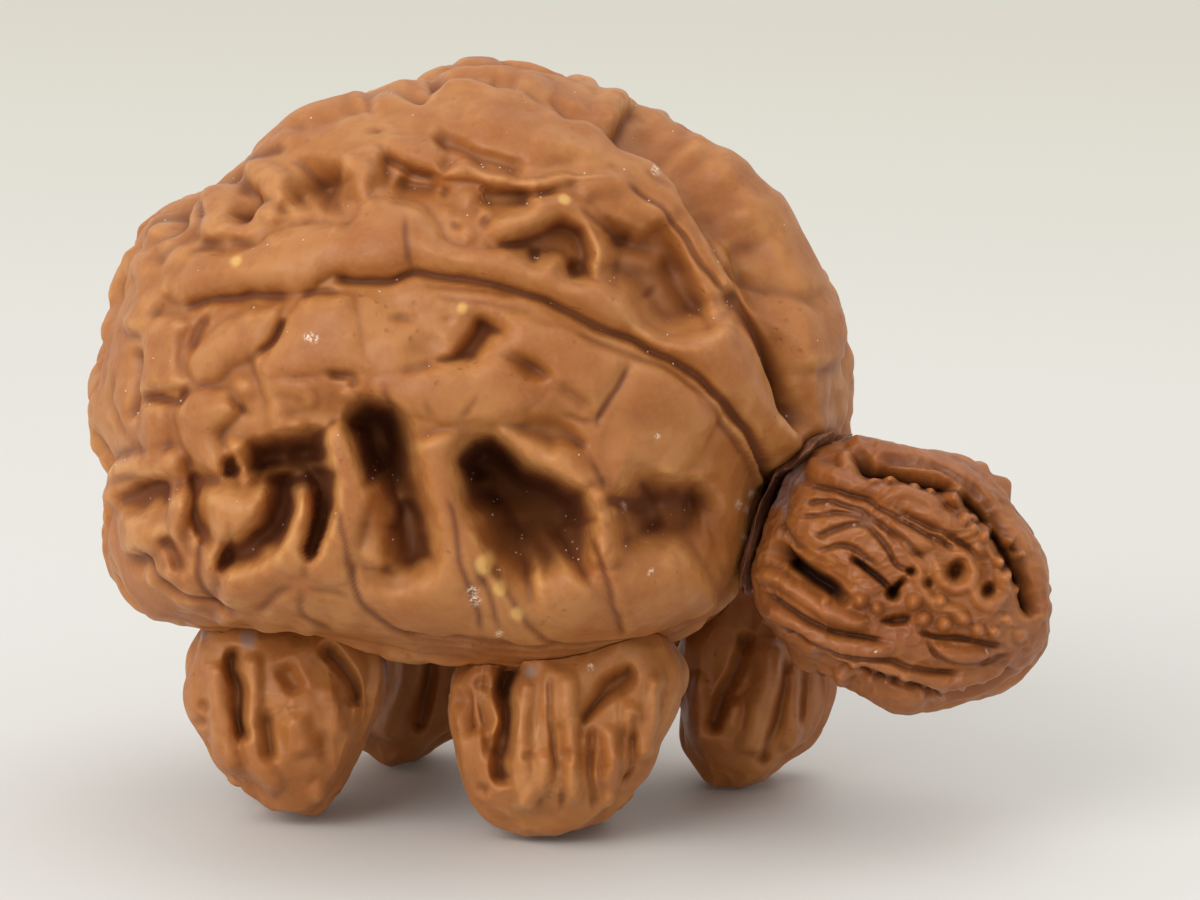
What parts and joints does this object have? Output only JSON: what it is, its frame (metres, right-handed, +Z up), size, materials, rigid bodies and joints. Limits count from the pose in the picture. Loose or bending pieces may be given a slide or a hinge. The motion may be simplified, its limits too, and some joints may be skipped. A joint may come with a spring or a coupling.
{
  "type": "walnut tortoise figure",
  "caption": "Standing tortoise glued together from whole polished walnuts: a large deeply pitted one as the shell, a small round one as the head and small ones as the legs.",
  "frame": {"origin": "middle of the bounding box's floor face, on the floor between the feet", "axes": "+X towards the head, +Y to the tortoise's left, +Z up"},
  "size_m": [0.0584, 0.0434, 0.0447],
  "materials": {
    "walnut": "satin",
    "dark_walnut": "satin",
    "glue": "gloss"
  },
  "bodies": {
    "root": {"shell_walnut": "walnut", "head_walnut": "dark_walnut", "leg_front_right": "walnut", "leg_rear_right": "walnut", "leg_front_left": "walnut", "leg_rear_left": "walnut", "glue_neck": "glue"}
  },
  "joints": []
}
